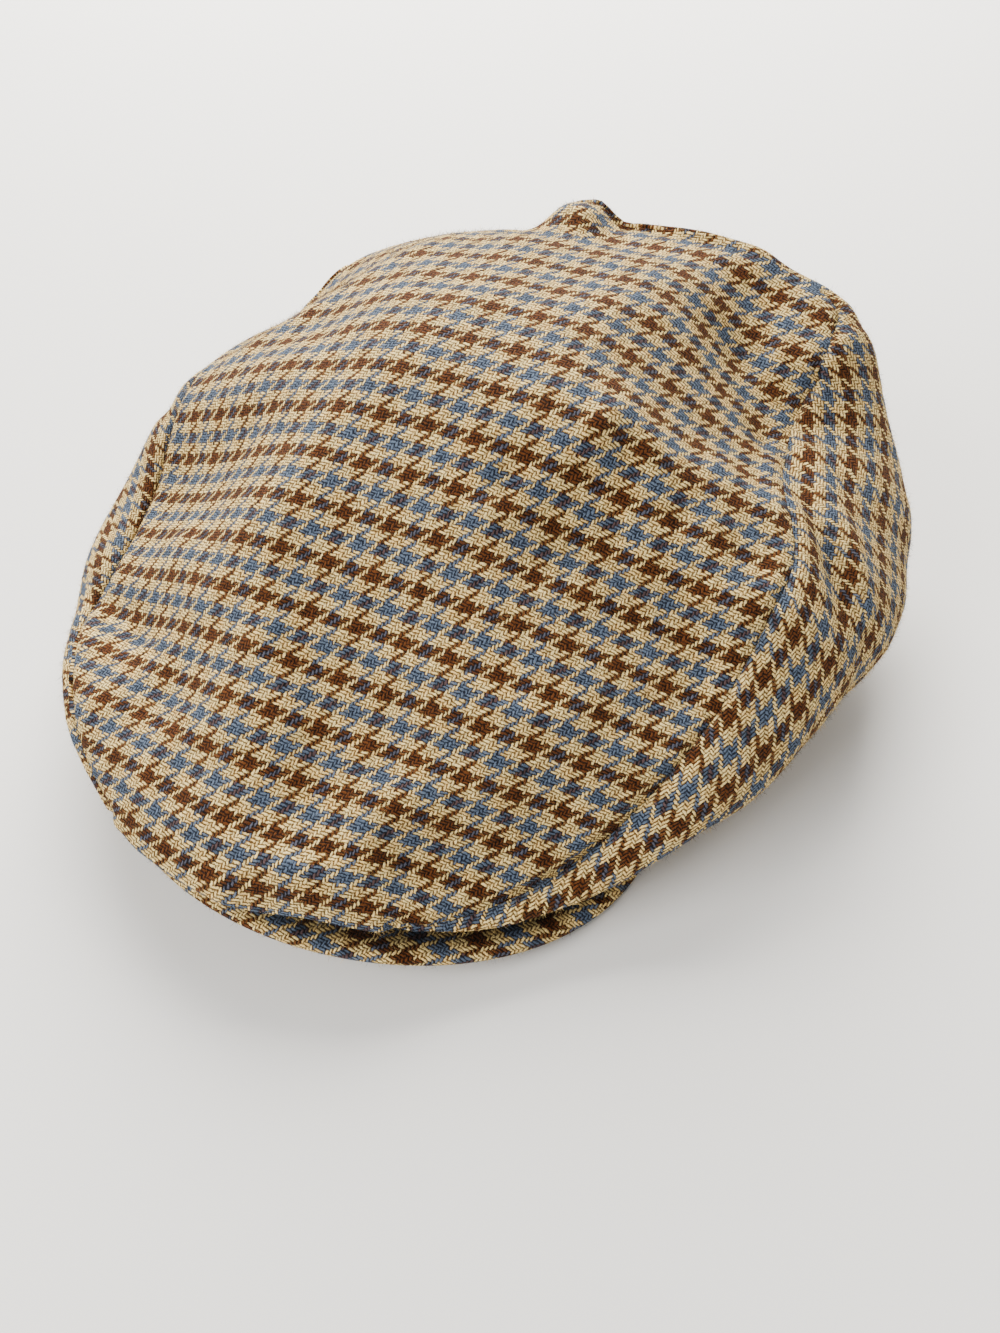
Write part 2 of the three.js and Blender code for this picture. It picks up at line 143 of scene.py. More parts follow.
# sections of the wall from the seam to the rim, by turn from the front round to the back
wallSections = {
    "left": [
        dict(turn=0, out=2, dip=5, skirt=9, lift=2),
        dict(turn=30, out=5, dip=6, skirt=20, lift=2),
        dict(turn=45, out=7, dip=10, skirt=40, lift=2),
        dict(turn=60, out=12, dip=8, skirt=48, lift=3),
        dict(turn=75, out=30, dip=2, skirt=52, lift=4),
        dict(turn=90, out=30, dip=2, skirt=54, lift=4),
        dict(turn=105, out=14, dip=10, skirt=50, lift=4),
        dict(turn=120, out=8, dip=18, skirt=40, lift=4),
        dict(turn=138, out=8, dip=20, skirt=28, lift=4),
        dict(turn=158, out=5, dip=24, skirt=20, lift=4),
        dict(turn=180, out=8, dip=22, skirt=16, lift=4),
    ],
    "right": [
        dict(turn=0, out=2, dip=5, skirt=9, lift=2),
        dict(turn=30, out=5, dip=6, skirt=5, lift=4),
        dict(turn=45, out=16, dip=8, skirt=3, lift=4),
        dict(turn=60, out=28, dip=9, skirt=4, lift=9),
        dict(turn=75, out=33, dip=13, skirt=24, lift=9),
        dict(turn=90, out=35, dip=17, skirt=46, lift=8),
        dict(turn=105, out=40, dip=18, skirt=76, lift=9),
        dict(turn=112, out=44, dip=15, skirt=79, lift=11),
        dict(turn=120, out=53, dip=0, skirt=73, lift=17),
        dict(turn=138, out=42, dip=-10, skirt=47, lift=21),
        dict(turn=158, out=19, dip=4, skirt=27, lift=12),
        dict(turn=180, out=8, dip=22, skirt=16, lift=4),
    ],
}
# creases of the walls: turn in degrees and millimetres down from the seam
wallFolds = [
    dict(side="right", fold="upper valley", start=(116, 1), end=(99, 20), rise=-3.2, width=6, fade=7),
    dict(side="right", fold="upper ridge", start=(118, 6), end=(101, 26), rise=2.2, width=5, fade=8),
    dict(side="right", fold="lower crease", start=(101, 16), end=(93, 50), rise=-1.2, width=5, fade=8),
    dict(side="right", fold="back crease", start=(126, 4), end=(120, 50), rise=-1.8, width=7, fade=10),
    dict(side="right", fold="side swell", start=(84, 26), end=(62, 34), rise=1.2, width=8, fade=8),
    dict(side="left", fold="side crease", start=(96, 4), end=(104, 40), rise=-1.6, width=5, fade=8),
    dict(side="left", fold="back crease", start=(140, 10), end=(132, 50), rise=-1.5, width=7, fade=10),
]
degreeLength = 1.8       # millimetres of wall for each degree of turn
for f in wallFolds:      # so turns become millimetres along the wall
    for end in ("start", "end"):
        f[end] = (f[end][0] * degreeLength, f[end][1])
# soft unevenness all over, which dies out towards the floor
puff = {"height": 0.35, "size": 13, "fine": 0.14, "fineSize": 5, "stillBelow": 1, "growsOver": 8}
seamGroove = {
    "depth": 1.2, "width": 2.0, "swell": 0.4, "swellAt": 4.5, "swellWidth": 2.5,
    "pucker": 0.22, "puckerLength": 5, "sampleStep": 0.25,
    "frontDepth": 0.8, "frontFrom": -50, "frontTo": -104, "frontRun": 22,
}

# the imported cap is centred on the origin, so the peak's box gives the step from these tables to the frame
peakLow, peakHigh = (Vector(c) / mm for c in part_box("peak"))
stepX = peakHigh.x - peak["x"] - peak["halfWidth"]
stepY = peakLow.y - peak["frontY"]
print("step to the frame:", round(stepX, 3), round(stepY, 3))


def toFrame(p):
    return Vector((p.x + stepX, p.y + stepY, p.z)) * mm


frontY = topSections[0]["y"]
backY = topSections[-1]["y"]
middleY = (frontY + backY) / 2
halfReach = (backY - frontY) / 2
for row in topSections + topSlopes:
    row["turn"] = math.degrees(math.acos(max(-1, min(1, (middleY - row["y"]) / halfReach))))


def column(table, turn, name):
    last = len(table) - 1
    k = 0
    while k < last - 1 and turn > table[k + 1]["turn"]:
        k += 1

    def slopeAt(i):
        before, after = table[max(i - 1, 0)], table[min(i + 1, last)]
        return (after[name] - before[name]) / (after["turn"] - before["turn"])

    low, high = table[k], table[k + 1]
    span = high["turn"] - low["turn"]
    t = (turn - low["turn"]) / span
    ease = t * t * (3 - 2 * t)
    bend = span * t * (1 - t) * ((1 - t) * slopeAt(k) - t * slopeAt(k + 1))
    return low[name] * (1 - ease) + high[name] * ease + bend


def foldRise(x, y, folds):
    total = 0
    for f in folds:
        dx, dy = f["end"][0] - f["start"][0], f["end"][1] - f["start"][1]
        length = math.hypot(dx, dy)
        along = ((x - f["start"][0]) * dx + (y - f["start"][1]) * dy) / length
        across = ((x - f["start"][0]) * dy - (y - f["start"][1]) * dx) / length
        past = max(0, -along, along - length)
        reach = (across / f["width"]) ** 2 + (past / f["fade"]) ** 2
        if reach < 9:
            total += f["rise"] * math.exp(-reach)
    return total


def topPoint(s, turn):
    side = "left" if s < 0 else "right"
    ridge = column(topSections, turn, "ridge")
    seamZ = column(topSections, turn, side + "Z")
    flat = column(topSlopes, turn, side + "Flat")
    hollow = column(topSlopes, turn, side + "Hollow")
    share = max(0, (abs(s) - flat) / (1 - flat))
    x = crown["axisX"] + s * max(column(topSections, turn, side), 0)
    y = middleY - halfReach * math.cos(math.radians(turn))
    z = ridge - (ridge - seamZ) * share * share * (1 + hollow * (1 - share))
    return Vector((x, y, z + foldRise(x, y, topFolds)))


# a square grid laid on the panel's round outline
def discPlace(a, b):
    across = a * math.sqrt(1 - b * b / 2)
    along = b * math.sqrt(1 - a * a / 2)
    reach = math.sqrt(max(1 - along * along, 0))
    s = max(-1, min(1, across / reach)) if reach > 1e-9 else 0
    return s, math.degrees(math.acos(max(-1, min(1, -along))))


def peakTop(x, y):
    offCentre = min(1, ((x - peak["x"]) / peak["halfWidth"]) ** 2)
    slope = peak["backSlope"] * (y - peak["frontY"])
    return peak["rise"] - peak["arch"] * offCentre + slope * (1 - offCentre)


def restHeight(turn, x, y):
    t = max(0, min(1, (turn - rimSeat["rampStart"]) / (rimSeat["rampEnd"] - rimSeat["rampStart"])))
    return (1 - t * t * (3 - 2 * t)) * (peakTop(x, y) + rimSeat["clearance"])


def rimPoint(side, turn, inset=0):
    power = 2 / rim["squareness"]
    c = math.cos(math.radians(turn))
    x = rim["x"] + hand[side] * (rim["halfWidth"] - inset) * math.sin(math.radians(turn)) ** power
    y = rim["y"] - math.copysign((rim["halfLength"] - inset) * abs(c) ** power, c)
    return Vector((x, y, restHeight(turn, x, y)))


def outward(side, turn):
    before = rimPoint(side, max(turn - 0.5, 0.01))
    after = rimPoint(side, min(turn + 0.5, 179.99))
    return Vector((hand[side] * (after.y - before.y), hand[side] * (before.x - after.x), 0)).normalized()


# one column of the wall: seam, swell, flat tread under the rim, then up the turned-in hem
def wallColumn(side, turn, seam):
    out = outward(side, turn)
    foot = rimPoint(side, turn)
    edge = foot + out * hem["tread"]
    edge.z = restHeight(turn, edge.x, edge.y)
    table = wallSections[side]
    upper = seam + out * column(table, turn, "out") - Vector((0, 0, column(table, turn, "dip")))
    lower = edge + out * column(table, turn, "skirt") + Vector((0, 0, column(table, turn, "lift")))
    dense = []
    for k in range(hem["curveSteps"] + 1):
        t = k / hem["curveSteps"]
        r = 1 - t
        dense.append(seam * r ** 3 + upper * 3 * r * r * t + lower * 3 * r * t * t + edge * t ** 3)
    points, lengths = evenPoints(dense, hem["wallRows"])
    points = [creased(side, turn, points, k, down) for k, down in enumerate(lengths)]
    points.append((edge + foot) / 2)
    points.append(foot)
    for k in range(1, hem["bendRows"] + 1):
        bend = math.radians(90 * k / hem["bendRows"])
        lift = hem["radius"] * (1 - math.cos(bend))
        points.append(foot - out * hem["radius"] * math.sin(bend) + Vector((0, 0, lift)))
    for k in range(1, hem["hemRows"] + 1):
        lift = hem["radius"] + (hem["height"] - hem["radius"]) * k / hem["hemRows"]
        points.append(foot - out * hem["radius"] + Vector((0, 0, lift)))
    return points


def evenPoints(dense, count):
    run = [0]
    for p, q in zip(dense, dense[1:]):
        run.append(run[-1] + (q - p).length)
    points, lengths, k = [], [], 0
    for i in range(1, count + 1):
        want = run[-1] * i / count
        while k < len(dense) - 2 and run[k + 1] < want:
            k += 1
        t = (want - run[k]) / max(run[k + 1] - run[k], 1e-9)
        points.append(dense[k].lerp(dense[k + 1], min(t, 1)))
        lengths.append(want)
    return points, lengths


# pushes a wall point in or out where a crease crosses it
def creased(side, turn, points, k, down):
    rise = foldRise(turn * degreeLength, down, [f for f in wallFolds if f["side"] == side])
    if abs(rise) < 1e-3:
        return points[k]
    before, after = points[max(k - 1, 0)], points[min(k + 1, len(points) - 1)]
    fall = (after - before).normalized()
    out = outward(side, turn)
    face = (out - fall * out.dot(fall)).normalized()
    return points[k] + face * rise


# the whole outer skin: a grid shaped into the top, then its border extruded row by row into the walls
def makeSkin():
    bm = bmesh.new()
    panel = bm.faces.layers.int.new("panel")
    n = crown["steps"]
    bmesh.ops.create_grid(bm, x_segments=n, y_segments=n, size=1)
    columns = {}
    for v in bm.verts:
        a, b = (q + crown["crowding"] * q * (1 - q * q) for q in v.co.xy)
        s, turn = discPlace(a, b)
        v.co = topPoint(s, turn)
        if v.is_boundary:
            side = "left" if s < 0 else "right"
            columns[v] = dict(a=a, b=b, points=wallColumn(side, turn, v.co.copy()))
    ring = [e for e in bm.edges if e.is_boundary]
    current = {v: v for v in columns}
    follow = {tuple(e.verts): faceSide([columns[v] for v in e.verts]) for e in ring}
    rows = min(len(c["points"]) for c in columns.values())
    for k in range(rows):
        made = bmesh.ops.extrude_edge_only(bm, edges=ring)["geom"]
        fresh = {g for g in made if isinstance(g, bmesh.types.BMVert)}
        step = {}
        for v in current:
            below = next(e.other_vert(v) for e in v.link_edges if e.other_vert(v) in fresh)
            below.co = columns[current[v]]["points"][k]
            step[below] = current[v]
        for g in made:
            if isinstance(g, bmesh.types.BMFace):
                ends = [current[v] for v in g.verts if v in current]
                g[panel] = follow.get(tuple(ends), follow.get(tuple(ends[::-1]), 0))
        current = step
        ring = [e for e in made if isinstance(e, bmesh.types.BMEdge) and all(v in fresh for v in e.verts)]
    bmesh.ops.recalc_face_normals(bm, faces=bm.faces)
    highest = max(bm.faces, key=lambda f: f.calc_center_median().z)
    if highest.normal.z < 0:
        bmesh.ops.reverse_faces(bm, faces=bm.faces)
    # the extrusion leaves its rows in no fixed order, so all is sorted by place and built afresh
    order = Vector((1, 0.618, 0.377))
    bm.verts.sort(key=lambda v: v.co.dot(order))
    bm.edges.sort(key=lambda e: (e.verts[0].co + e.verts[1].co).dot(order))
    bm.faces.sort(key=lambda f: f.calc_center_median().dot(order))
    sheet = bpy.data.meshes.new("skin")
    bm.to_mesh(sheet)
    bm.clear()
    bm.from_mesh(sheet)
    bpy.data.meshes.remove(sheet)
    return bm


# 0 top with its lip, 1 left side, 2 right side
def faceSide(ends):
    a = sum(e["a"] for e in ends) / 2
    b = sum(e["b"] for e in ends) / 2
    if b < -0.999 and crown["lipLeft"] < a < crown["lipRight"]:
        return 0
    return 1 if a < 0 else 2


def seamEdges(bm):
    panel = bm.faces.layers.int["panel"]
    return [e for e in bm.edges if len({f[panel] for f in e.link_faces}) == 2]


# sinks the cloth into its seams and lifts it a little beside them, then adds soft unevenness
def dressSkin(bm):
    line = []
    for e in seamEdges(bm):
        p, q = sorted((v.co for v in e.verts), key=tuple)
        parts = max(1, int((q - p).length / seamGroove["sampleStep"]))
        line += [p.lerp(q, k / parts) for k in range(parts)]
    tree = kdtree.KDTree(len(line))
    for k, p in enumerate(line):
        tree.insert(p, k)
    tree.balance()
    bm.normal_update()
    moves = []
    for v in bm.verts:
        spot, _, far = tree.find(v.co)
        pucker = 1 + seamGroove["pucker"] * noise.noise(spot / seamGroove["puckerLength"])
        # the seam deepens beside the front lip
        near = min(1, (seamGroove["frontFrom"] - spot.y) / seamGroove["frontRun"],
                   (spot.y - seamGroove["frontTo"]) / seamGroove["frontRun"])
        near = max(0, near)
        depth = seamGroove["depth"] + seamGroove["frontDepth"] * near
        sink = depth * math.exp(-(far / seamGroove["width"]) ** 2)
        beside = (far - seamGroove["swellAt"]) / seamGroove["swellWidth"]
        swell = seamGroove["swell"] * math.exp(-beside ** 2) * pucker
        soft = puff["height"] * noise.noise(v.co / puff["size"])
        soft += puff["fine"] * noise.noise(v.co / puff["fineSize"])
        low = max(0, min(1, (v.co.z - puff["stillBelow"]) / puff["growsOver"]))
        moves.append((v, v.normal * ((soft + swell) * low - sink * pucker)))
    for v, move in moves:
        v.co += move
        v.co.z = max(v.co.z, 0)    # nothing is pushed into the floor


# one panel cut out of the skin, drawn back a little along its seams
def panelMesh(skin, number, name):
    bm = skin.copy()
    panel = bm.faces.layers.int["panel"]
    bmesh.ops.delete(bm, geom=[f for f in bm.faces if f[panel] != number], context="FACES")
    bm.normal_update()
    pulls = []
    for v in bm.verts:
        if v.is_boundary:
            ends = [e.other_vert(v).co for e in v.link_edges if e.is_boundary]
            inside = sum((f.calc_center_median() for f in v.link_faces), Vector()) / len(v.link_faces) - v.co
            along = (ends[1] - ends[0]).normalized()
            inside -= along * inside.dot(along)
            pulls.append((v, inside.normalized() * cloth["gap"] / 2))
    for v, pull in pulls:
        v.co += pull
    for v in bm.verts:
        v.co = toFrame(v.co)
    for f in bm.faces:
        f.smooth = True
    mesh = bpy.data.meshes.new(name)
    bm.to_mesh(mesh)
    bm.free()
    obj = bpy.data.objects.new(name, mesh)
    bpy.context.scene.collection.objects.link(obj)
    return obj


def layCheck(obj, front, back, turn, phase, drags):
    obj.data.uv_layers.new(name="cloth")
    bpy.context.view_layer.objects.active = obj
    obj.select_set(True)
    bpy.ops.object.mode_set(mode="EDIT")
    bpy.ops.mesh.select_all(action="SELECT")
    bpy.ops.uv.unwrap(method="MINIMUM_STRETCH", fill_holes=False, margin=0, iterations=12)
    bpy.ops.object.mode_set(mode="OBJECT")
    obj.select_set(False)
    mesh = obj.data
    uv = mesh.uv_layers["cloth"]
    spots = {}
    for loop in mesh.loops:
        spots[loop.vertex_index] = uv.data[loop.index].uv.copy()
    real = sum(p.area for p in mesh.polygons)
    flat = 0
    for p in mesh.polygons:
        corners = [uv.data[k].uv for k in p.loop_indices]
        for q, r in zip(corners[1:], corners[2:]):
            flat += abs((q - corners[0]).cross(r - corners[0])) / 2
    scale = math.sqrt(real / flat) / (cloth["repeat"] * mm)
    near = {}
    for name, p in (("front", toFrame(front)), ("back", toFrame(back))):
        near[name] = spots[min(mesh.vertices, key=lambda v: (v.co - p).length_squared).index]
    run = near["back"] - near["front"]
    angle = math.pi / 2 - math.atan2(run.y, run.x) + math.radians(turn)
    c, s = math.cos(angle), math.sin(angle)
    for loop in mesh.loops:
        d = (uv.data[loop.index].uv - near["front"]) * scale
        spot = Vector((d.x * c - d.y * s + phase[0], d.x * s + d.y * c + phase[1]))
        pull = Vector((0, 0))
        for g in drags:
            pull += Vector(g["by"]) * math.exp(-((spot.x - g["at"]) / g["reach"]) ** 2)
        uv.data[loop.index].uv = spot + pull
    print(obj.name, "laid flat, one repeat is", cloth["repeat"], "mm")


tweed = {
    # each yarn's colour in painted shade, in the gaps between threads, and lit, as the painted highlight on
    # a float's crest
    "brown": dict(inShade=(0.005, 0.002, 0.001), lit=(0.125, 0.039, 0.01)),
    "blue": dict(inShade=(0.008, 0.011, 0.02), lit=(0.112, 0.152, 0.222)),
    "cream": dict(inShade=(0.11, 0.048, 0.012), lit=(1.0, 0.77, 0.33)),
    "ochre": dict(inShade=(0.09, 0.034, 0.008), lit=(0.92, 0.56, 0.17)),
    "ochreShare": 0.55,
    "threads": 16,           # threads to a repeat
    "drift": 0.9,            # how far a thread wanders, in threads
    "ragged": 0.7,           # and how far its edge frays
    "weftReach": 0.22,       # part of a thread that a weft float gains at each end
    "archPower": 0.6,        # how squarely a float rises at its ends
    "archDip": 0.7,          # and how deep it dives
    "plyDepth": 0.07,
    "plySlant": (2.2, 1.4),  # ridges to a thread, across and along
    "fibreSpan": 0.9,
    "fibreBase": 0.55,
    "contrast": 3.0,         # how fast the painted shade darkens a float towards its edges
    "gain": 2.9,
    "warmthSpan": 5,         # a wider span gives sharper streaks in the cream
    "warmthBase": -2.2,
    "floatSpread": 0.48,     # how much one float differs from the next
    "yarnSpread": 0.14,      # and one yarn from the next
    "heather": 0.45,         # flecks along a yarn
    "strayAbove": 0.648,     # a higher value leaves fewer stray fibres
    "strayShow": 0.55,       # how far a stray fibre shows the yarn below
    "darkBlend": 0.3,        # how far a warp of blue or brown takes on the weft where they cross
    "darkLoss": 0.22,        # and how much light the crossing loses
    "lipShadeLoss": 0.8,      # painted shade deep under the lip
    "relief": 0.0004,
    "fibreRelief": 0.45,
    "roughness": 0.9,
    "specular": 0.08,
    "sheen": 0.05,
    "sheenRoughness": 0.5,
    "sheenTint": (0.9, 0.82, 0.7),
}
# grain of each speckle: spots to a repeat, detail, roughness
speckles = {
    "drift": (4.5, 2, 0.5),
    "ragged": (26, 2, 0.5),
    "fibre": (70, 5, 0.65),
    "warmth": (5, 3, 0.6),
    "stray": (95, 3, 0.6),
    "heather": (34, 4, 0.6),
}


class Nodes:
    def __init__(self, material):
        material.use_nodes = True
        self.tree = material.node_tree
        self.tree.nodes.clear()

    def add(self, kind, **settings):
        node = self.tree.nodes.new(kind)
        for name, value in settings.items():
            setattr(node, name, value)
        return node

    def join(self, source, target):
        if hasattr(source, "outputs"):
            source = source.outputs[0]
        if hasattr(source, "is_output"):
            self.tree.links.new(source, target)
        else:
            target.default_value = source

    def math(self, operation, *values):
        node = self.add("ShaderNodeMath", operation=operation)
        for k, value in enumerate(values):
            self.join(value, node.inputs[k])
        return node.outputs[0]

    def mix(self, share, first, second):
        node = self.add("ShaderNodeMix", data_type="RGBA")
        self.join(share, node.inputs[0])
        for value, socket in ((first, node.inputs[6]), (second, node.inputs[7])):
            self.join((*value, 1) if isinstance(value, tuple) else value, socket)
        return node.outputs[2]


def tweedMaterial():
    material = bpy.data.materials.new("tweed")
    n = Nodes(material)
    place = n.add("ShaderNodeUVMap", uv_map="cloth").outputs[0]

    def speckle(name):
        node = n.add("ShaderNodeTexNoise", noise_dimensions="2D")
        n.join(place, node.inputs["Vector"])
        for socket, value in zip(("Scale", "Detail", "Roughness"), speckles[name]):
            node.inputs[socket].default_value = value
        return node

    # threads are counted across the cloth, wandering a little as spun yarn does
    split = n.add("ShaderNodeSeparateXYZ")
    n.join(place, split.inputs[0])
    slow = n.add("ShaderNodeSeparateXYZ")
    n.join(speckle("drift").outputs["Color"], slow.inputs[0])
    ragged = n.add("ShaderNodeSeparateXYZ")
    n.join(speckle("ragged").outputs["Color"], ragged.inputs[0])
    threads = []
    centre = -(tweed["drift"] + tweed["ragged"]) / 2
    for k in range(2):
        count = n.math("MULTIPLY_ADD", split.outputs[k], tweed["threads"], centre)
        drift = n.math("MULTIPLY_ADD", slow.outputs[k], tweed["drift"], count)
        threads.append(n.math("MULTIPLY_ADD", ragged.outputs[k], tweed["ragged"], drift))
    warpAt, weftAt = threads
    warpNo = n.math("FLOOR", warpAt)
    weftNo = n.math("FLOOR", weftAt)
    # two over two under, stepping one thread each row; the fuller weft reaches over the warp's edges
    reach = tweed["weftReach"]
    along = n.math("FLOORED_MODULO", n.math("SUBTRACT", warpAt, weftNo), 4)
    over = n.math("LESS_THAN", n.math("ABSOLUTE", n.math("SUBTRACT", along, 1)), 1 - reach)
    under = n.math("SUBTRACT", 1, over)

    # a float is round across the yarn and dives under at both ends
    def floatShape(across, along, first, length, number):
        part = n.math("MULTIPLY_ADD", n.math("FRACT", across), 2, -1)
        body = n.math("SUBTRACT", 1, n.math("MULTIPLY", part, part))
        start = n.math("SUBTRACT", along, first)
        run = n.math("DIVIDE", n.math("FLOORED_MODULO", start, 4), length)
        arch = n.math("MAXIMUM", n.math("SINE", n.math("MULTIPLY", run, math.pi)), 0)
        arch = n.math("POWER", arch, tweed["archPower"])
        rise = n.math("MULTIPLY_ADD", arch, tweed["archDip"], 1 - tweed["archDip"])
        height = n.math("MULTIPLY", body, rise)
        cell = n.add("ShaderNodeCombineXYZ")
        n.join(number, cell.inputs[0])
        n.join(n.math("FLOOR", n.math("DIVIDE", start, 4)), cell.inputs[1])
        chance = n.add("ShaderNodeTexWhiteNoise", noise_dimensions="2D")
        n.join(cell, chance.inputs["Vector"])
        return height, chance.outputs[0]

    def topmost(warpValue, weftValue):
        return n.math("ADD", n.math("MULTIPLY", over, warpValue), n.math("MULTIPLY", under, weftValue))

    warpFirst = n.math("SUBTRACT", warpNo, 1)
    weftFirst = n.math("ADD", weftNo, 2 - reach)
    warpHeight, warpChance = floatShape(warpAt, weftAt, warpFirst, 2, warpNo)
    weftHeight, weftChance = floatShape(weftAt, warpAt, weftFirst, 2 + 2 * reach, n.math("ADD", weftNo, 500))
    height = topmost(warpHeight, weftHeight)
    floatLight = n.math("MULTIPLY_ADD", topmost(warpChance, weftChance), tweed["floatSpread"] * 2,
                        1 - tweed["floatSpread"])
    # plied yarn shows as fine slanted ridges, drawn only as painted shade
    plyAcross, plyAlong = tweed["plySlant"]
    slant = n.math("ADD", n.math("MULTIPLY", warpAt, plyAcross), n.math("MULTIPLY", weftAt, plyAlong))
    ply = n.math("MULTIPLY_ADD", n.math("SINE", n.math("MULTIPLY", slant, math.tau)), tweed["plyDepth"],
                 1 - tweed["plyDepth"])
    fibre = speckle("fibre").outputs[0]
    fibreLight = n.math("MULTIPLY_ADD", fibre, tweed["fibreSpan"], tweed["fibreBase"])
    # painted light across each float: its height and ply ridges, with the fibre speckle, give painted shade
    # in the gaps between threads and a painted highlight on the crests
    lit = n.math("MULTIPLY", fibreLight, n.math("MULTIPLY", height, ply))
    lit = n.math("POWER", lit, tweed["contrast"])
    lit = n.math("MULTIPLY", lit, n.math("MULTIPLY", floatLight, tweed["gain"]))
    lit = n.math("MINIMUM", lit, 1)

    # four threads each of brown, cream, blue, cream, the same both ways, with warmer streaks in the cream
    yarnNames = ("brown", "blue", "cream", "ochre")
    warmth = n.math("MULTIPLY_ADD", speckle("warmth").outputs[0], tweed["warmthSpan"], tweed["warmthBase"])
    warmth = n.math("MINIMUM", n.math("SMOOTH_MAX", warmth, 0, 0.1), 1)

    def yarnColour(number, seed):
        band = n.math("FLOOR", n.math("DIVIDE", number, 4))
        isCream = n.math("FLOORED_MODULO", band, 2)
        isBlue = n.math("GREATER_THAN", n.math("FLOORED_MODULO", band, 4), 1.5)
        # each yarn goes from its colour in painted shade to its lit colour as the float's painted light
        # rises
        yarn = {name: n.mix(lit, tweed[name]["inShade"], tweed[name]["lit"]) for name in yarnNames}
        cream = n.mix(n.math("MULTIPLY", warmth, tweed["ochreShare"]), yarn["cream"], yarn["ochre"])
        colour = n.mix(isCream, n.mix(isBlue, yarn["brown"], yarn["blue"]), cream)
        each = n.add("ShaderNodeTexWhiteNoise", noise_dimensions="1D")
        n.join(n.math("ADD", number, seed), each.inputs["W"])
        light = n.math("MULTIPLY_ADD", each.outputs[0], tweed["yarnSpread"] * 2, 1 - tweed["yarnSpread"])
        return colour, light, isCream, isBlue

    warpColour, warpLight, warpCream, warpBlue = yarnColour(warpNo, 0.5)
    weftColour, weftLight, weftCream, weftBlue = yarnColour(weftNo, 700.5)
    colour = n.mix(over, weftColour, warpColour)
    below = n.mix(over, warpColour, weftColour)
    stray = n.math("GREATER_THAN", speckle("stray").outputs[0], tweed["strayAbove"])
    # where blue crosses brown, both are darker and the warp takes on the weft's tone
    crossing = n.math("SUBTRACT", 1, n.math("MAXIMUM", warpCream, weftCream))
    crossing = n.math("MULTIPLY", crossing, n.math("ABSOLUTE", n.math("SUBTRACT", warpBlue, weftBlue)))
    share = n.math("MAXIMUM", n.math("MULTIPLY", stray, tweed["strayShow"]),
                   n.math("MULTIPLY", n.math("MULTIPLY", crossing, over), tweed["darkBlend"]))
    colour = n.mix(share, colour, below)
    light = n.math("MULTIPLY", topmost(warpLight, weftLight),
                   n.math("MULTIPLY_ADD", crossing, -tweed["darkLoss"], 1))
    heather = n.math("MULTIPLY_ADD", speckle("heather").outputs[0], tweed["heather"] * 2,
                     1 - tweed["heather"])
    # painted shade: the peak's cloth is darkened where it runs in under the lip
    lipShade = n.add("ShaderNodeAttribute", attribute_name="lipShade").outputs["Fac"]
    light = n.math("MULTIPLY", light, n.math("MULTIPLY_ADD", lipShade, -tweed["lipShadeLoss"], 1))
    shaded = n.add("ShaderNodeVectorMath", operation="SCALE")
    n.join(colour, shaded.inputs[0])
    n.join(n.math("MULTIPLY", light, heather), shaded.inputs["Scale"])
    bump = n.add("ShaderNodeBump")
    bump.inputs["Strength"].default_value = 1
    bump.inputs["Distance"].default_value = tweed["relief"]
    n.join(n.math("MULTIPLY_ADD", fibre, tweed["fibreRelief"], height), bump.inputs["Height"])
    shader = n.add("ShaderNodeBsdfPrincipled")
    n.join(shaded.outputs[0], shader.inputs["Base Color"])
    n.join(bump.outputs[0], shader.inputs["Normal"])
    shader.inputs["Roughness"].default_value = tweed["roughness"]
    shader.inputs["Specular IOR Level"].default_value = tweed["specular"]
    shader.inputs["Sheen Weight"].default_value = tweed["sheen"]
    shader.inputs["Sheen Roughness"].default_value = tweed["sheenRoughness"]
    shader.inputs["Sheen Tint"].default_value = (*tweed["sheenTint"], 1)
    output = n.add("ShaderNodeOutputMaterial")
    n.join(shader.outputs[0], output.inputs[0])
    return material


def thicken(obj):
    wall = obj.modifiers.new("clothThickness", "SOLIDIFY")
    wall.thickness = cloth["thickness"] * mm
    wall.offset = -1
    wall.use_rim = True


